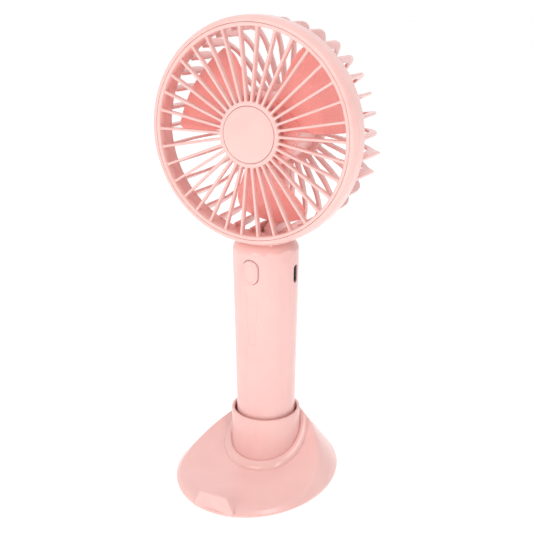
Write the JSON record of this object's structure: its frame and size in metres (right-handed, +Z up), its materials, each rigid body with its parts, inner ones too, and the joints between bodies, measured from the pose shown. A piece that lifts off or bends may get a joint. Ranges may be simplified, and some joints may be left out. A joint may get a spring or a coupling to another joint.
{
  "type": "handheld electric fan with desk stand",
  "caption": "Rechargeable handheld fan: ring head with radial-ribbed grille and guard, impeller, tapered grip with button and socket, and an oval desk stand with a phone rest.",
  "frame": {"origin": "centre of the stand's oval footprint, on the desk", "axes": "+Z up, the fan blows towards -Y, the charging socket is on the +X side"},
  "size_m": [0.103, 0.094, 0.225],
  "materials": {
    "pink_shell": "satin moulded ABS",
    "stand_pad": "matt foam rubber",
    "coral_blades": "satin moulded ABS",
    "bare_steel": "plated steel",
    "sintered_bronze": "oil-filled sintered bronze",
    "copper_parts": "bare and enamelled copper",
    "black_plastic": "moulded nylon",
    "ferrite": "sintered ferrite",
    "lead_insulation": "soft PVC",
    "board": "fibreglass with solder mask",
    "led_lens": "clear resin over a white reflector",
    "cell_sleeve": "heat-shrunk film"
  },
  "bodies": {
    "stand": {"stand_shell": "pink_shell", "anti_slip_pad": "stand_pad"},
    "fan": {"head_ring": "pink_shell", "front_grille": "pink_shell", "hub_badge": "pink_shell", "rear_guard": "pink_shell", "rear_cap": "pink_shell", "handle_front_shell": "pink_shell", "handle_rear_shell": "pink_shell", "handle_end_cap": "pink_shell", "handle_screws": "bare_steel", "motor_can": "bare_steel", "motor_end_bell": "black_plastic", "motor_magnets": "ferrite", "front_bush": "sintered_bronze", "rear_bush": "sintered_bronze", "motor_brushes": "copper_parts", "motor_clamp": "bare_steel", "clamp_screws": "bare_steel", "motor_leads": "lead_insulation", "tact_switch": "bare_steel", "circuit_board": "board", "board_chips": "black_plastic", "status_led": "led_lens", "usb_port_shell": "bare_steel", "usb_port_tongue": "black_plastic", "battery_cell": "bare_steel", "battery_sleeve": "cell_sleeve", "battery_spring": "bare_steel", "battery_contact": "bare_steel", "battery_leads": "lead_insulation"},
    "rotor": {"impeller": "coral_blades", "motor_shaft": "bare_steel", "armature_core": "bare_steel", "armature_windings": "copper_parts", "commutator": "copper_parts"},
    "button": {"power_button": "pink_shell", "switch_plunger": "black_plastic"}
  },
  "joints": [
    {"name": "fan_lift", "type": "slide", "parent": "stand", "child": "fan", "axis": [0, 0, 1], "range_m": [0, 0.035]},
    {"name": "impeller_spin", "type": "hinge", "parent": "fan", "child": "rotor", "pos_m": [0, 0.009, 0.1735], "axis": [0, 1, 0], "continuous": true},
    {"name": "button_press", "type": "slide", "parent": "fan", "child": "button", "axis": [0, 1, 0], "range_m": [0, 0.0005], "stiffness_N_per_m": 3200}
  ]
}
